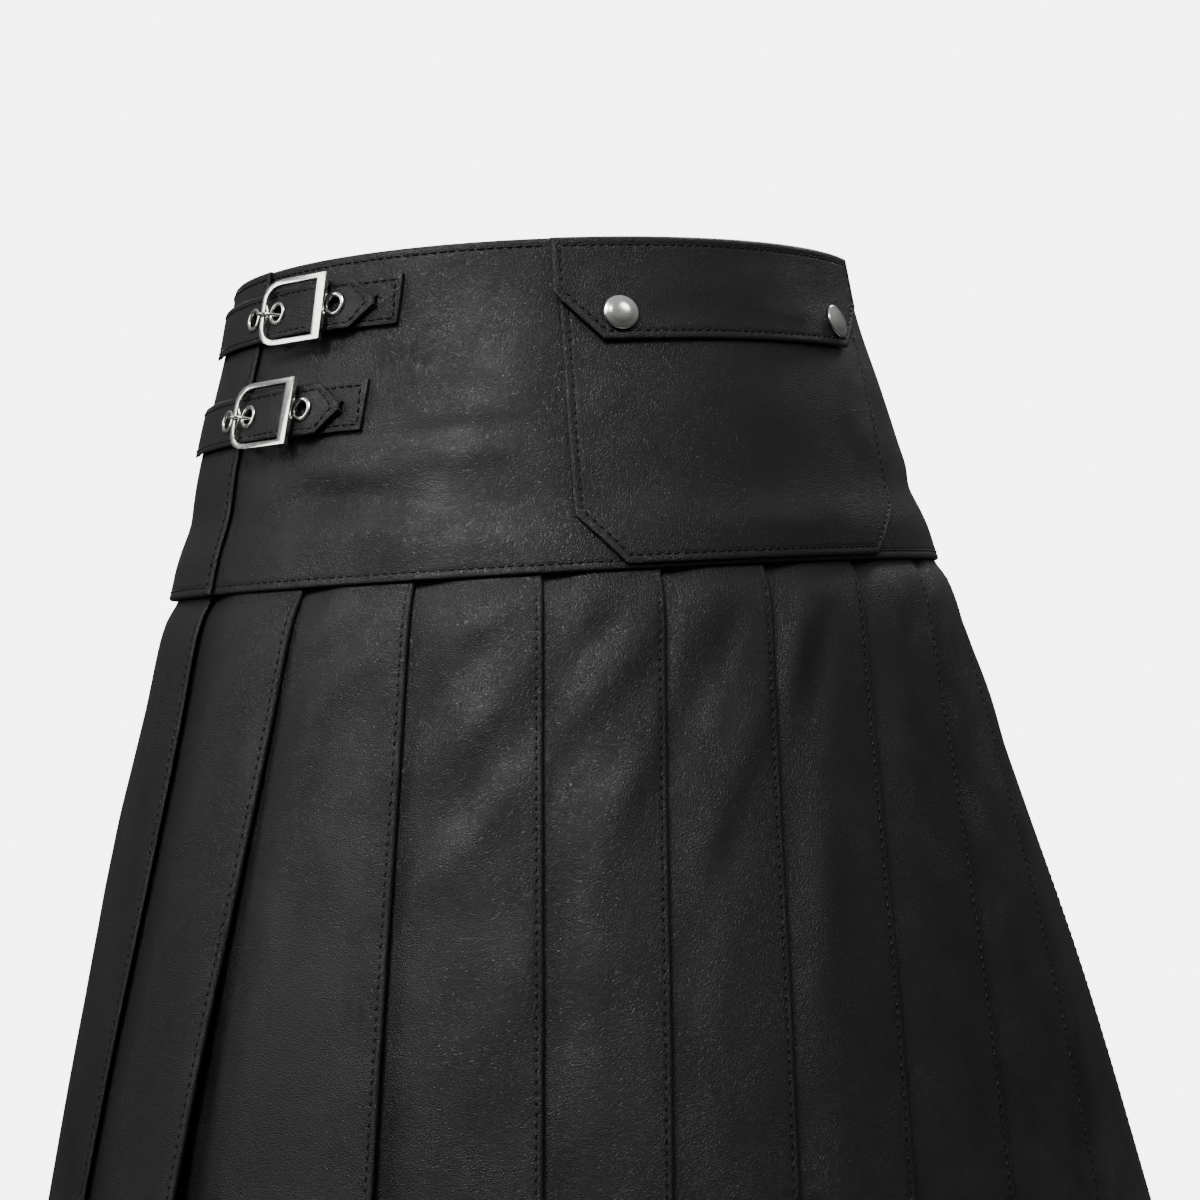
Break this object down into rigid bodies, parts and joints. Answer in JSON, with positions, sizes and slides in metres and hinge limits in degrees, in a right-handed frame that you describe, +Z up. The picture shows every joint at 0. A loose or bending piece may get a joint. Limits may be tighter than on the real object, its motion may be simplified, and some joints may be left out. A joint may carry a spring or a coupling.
{
  "type": "leather kilt",
  "caption": "Worn black leather wrap kilt with a flat yoke, knife pleats, a double apron, two buckled hip straps and a snapped flap pocket at the back.",
  "frame": {"origin": "centre of the waist opening, at the level of the waist edge", "axes": "+Z up, -Y to the wearer's front, +X to the wearer's left"},
  "size_m": [0.6258, 0.5756, 0.6],
  "materials": {
    "leather": "fine pebble grain, semi-matte with a soft sheen",
    "nickel": "polished nickel plate"
  },
  "bodies": {
    "root": {"buckle_lower": "nickel", "buckle_upper": "nickel", "chape_lower": "leather", "chape_upper": "leather", "eyelet_lower_1": "nickel", "eyelet_lower_2": "nickel", "eyelet_lower_3": "nickel", "eyelet_upper_1": "nickel", "eyelet_upper_2": "nickel", "eyelet_upper_3": "nickel", "pleat_01": "leather", "pleat_02": "leather", "pleat_03": "leather", "pleat_04": "leather", "pleat_05": "leather", "pleat_06": "leather", "pleat_07": "leather", "pleat_08": "leather", "pleat_09": "leather", "pleat_10": "leather", "pleat_11": "leather", "pocket": "leather", "pocket_flap": "leather", "prong_lower": "nickel", "prong_upper": "nickel", "skirt_over_apron": "leather", "skirt_under_apron": "leather", "snap_1": "nickel", "snap_2": "nickel", "strap_lower": "leather", "strap_upper": "leather", "yoke_back": "leather", "yoke_over_apron": "leather", "yoke_under_apron": "leather"}
  },
  "joints": []
}
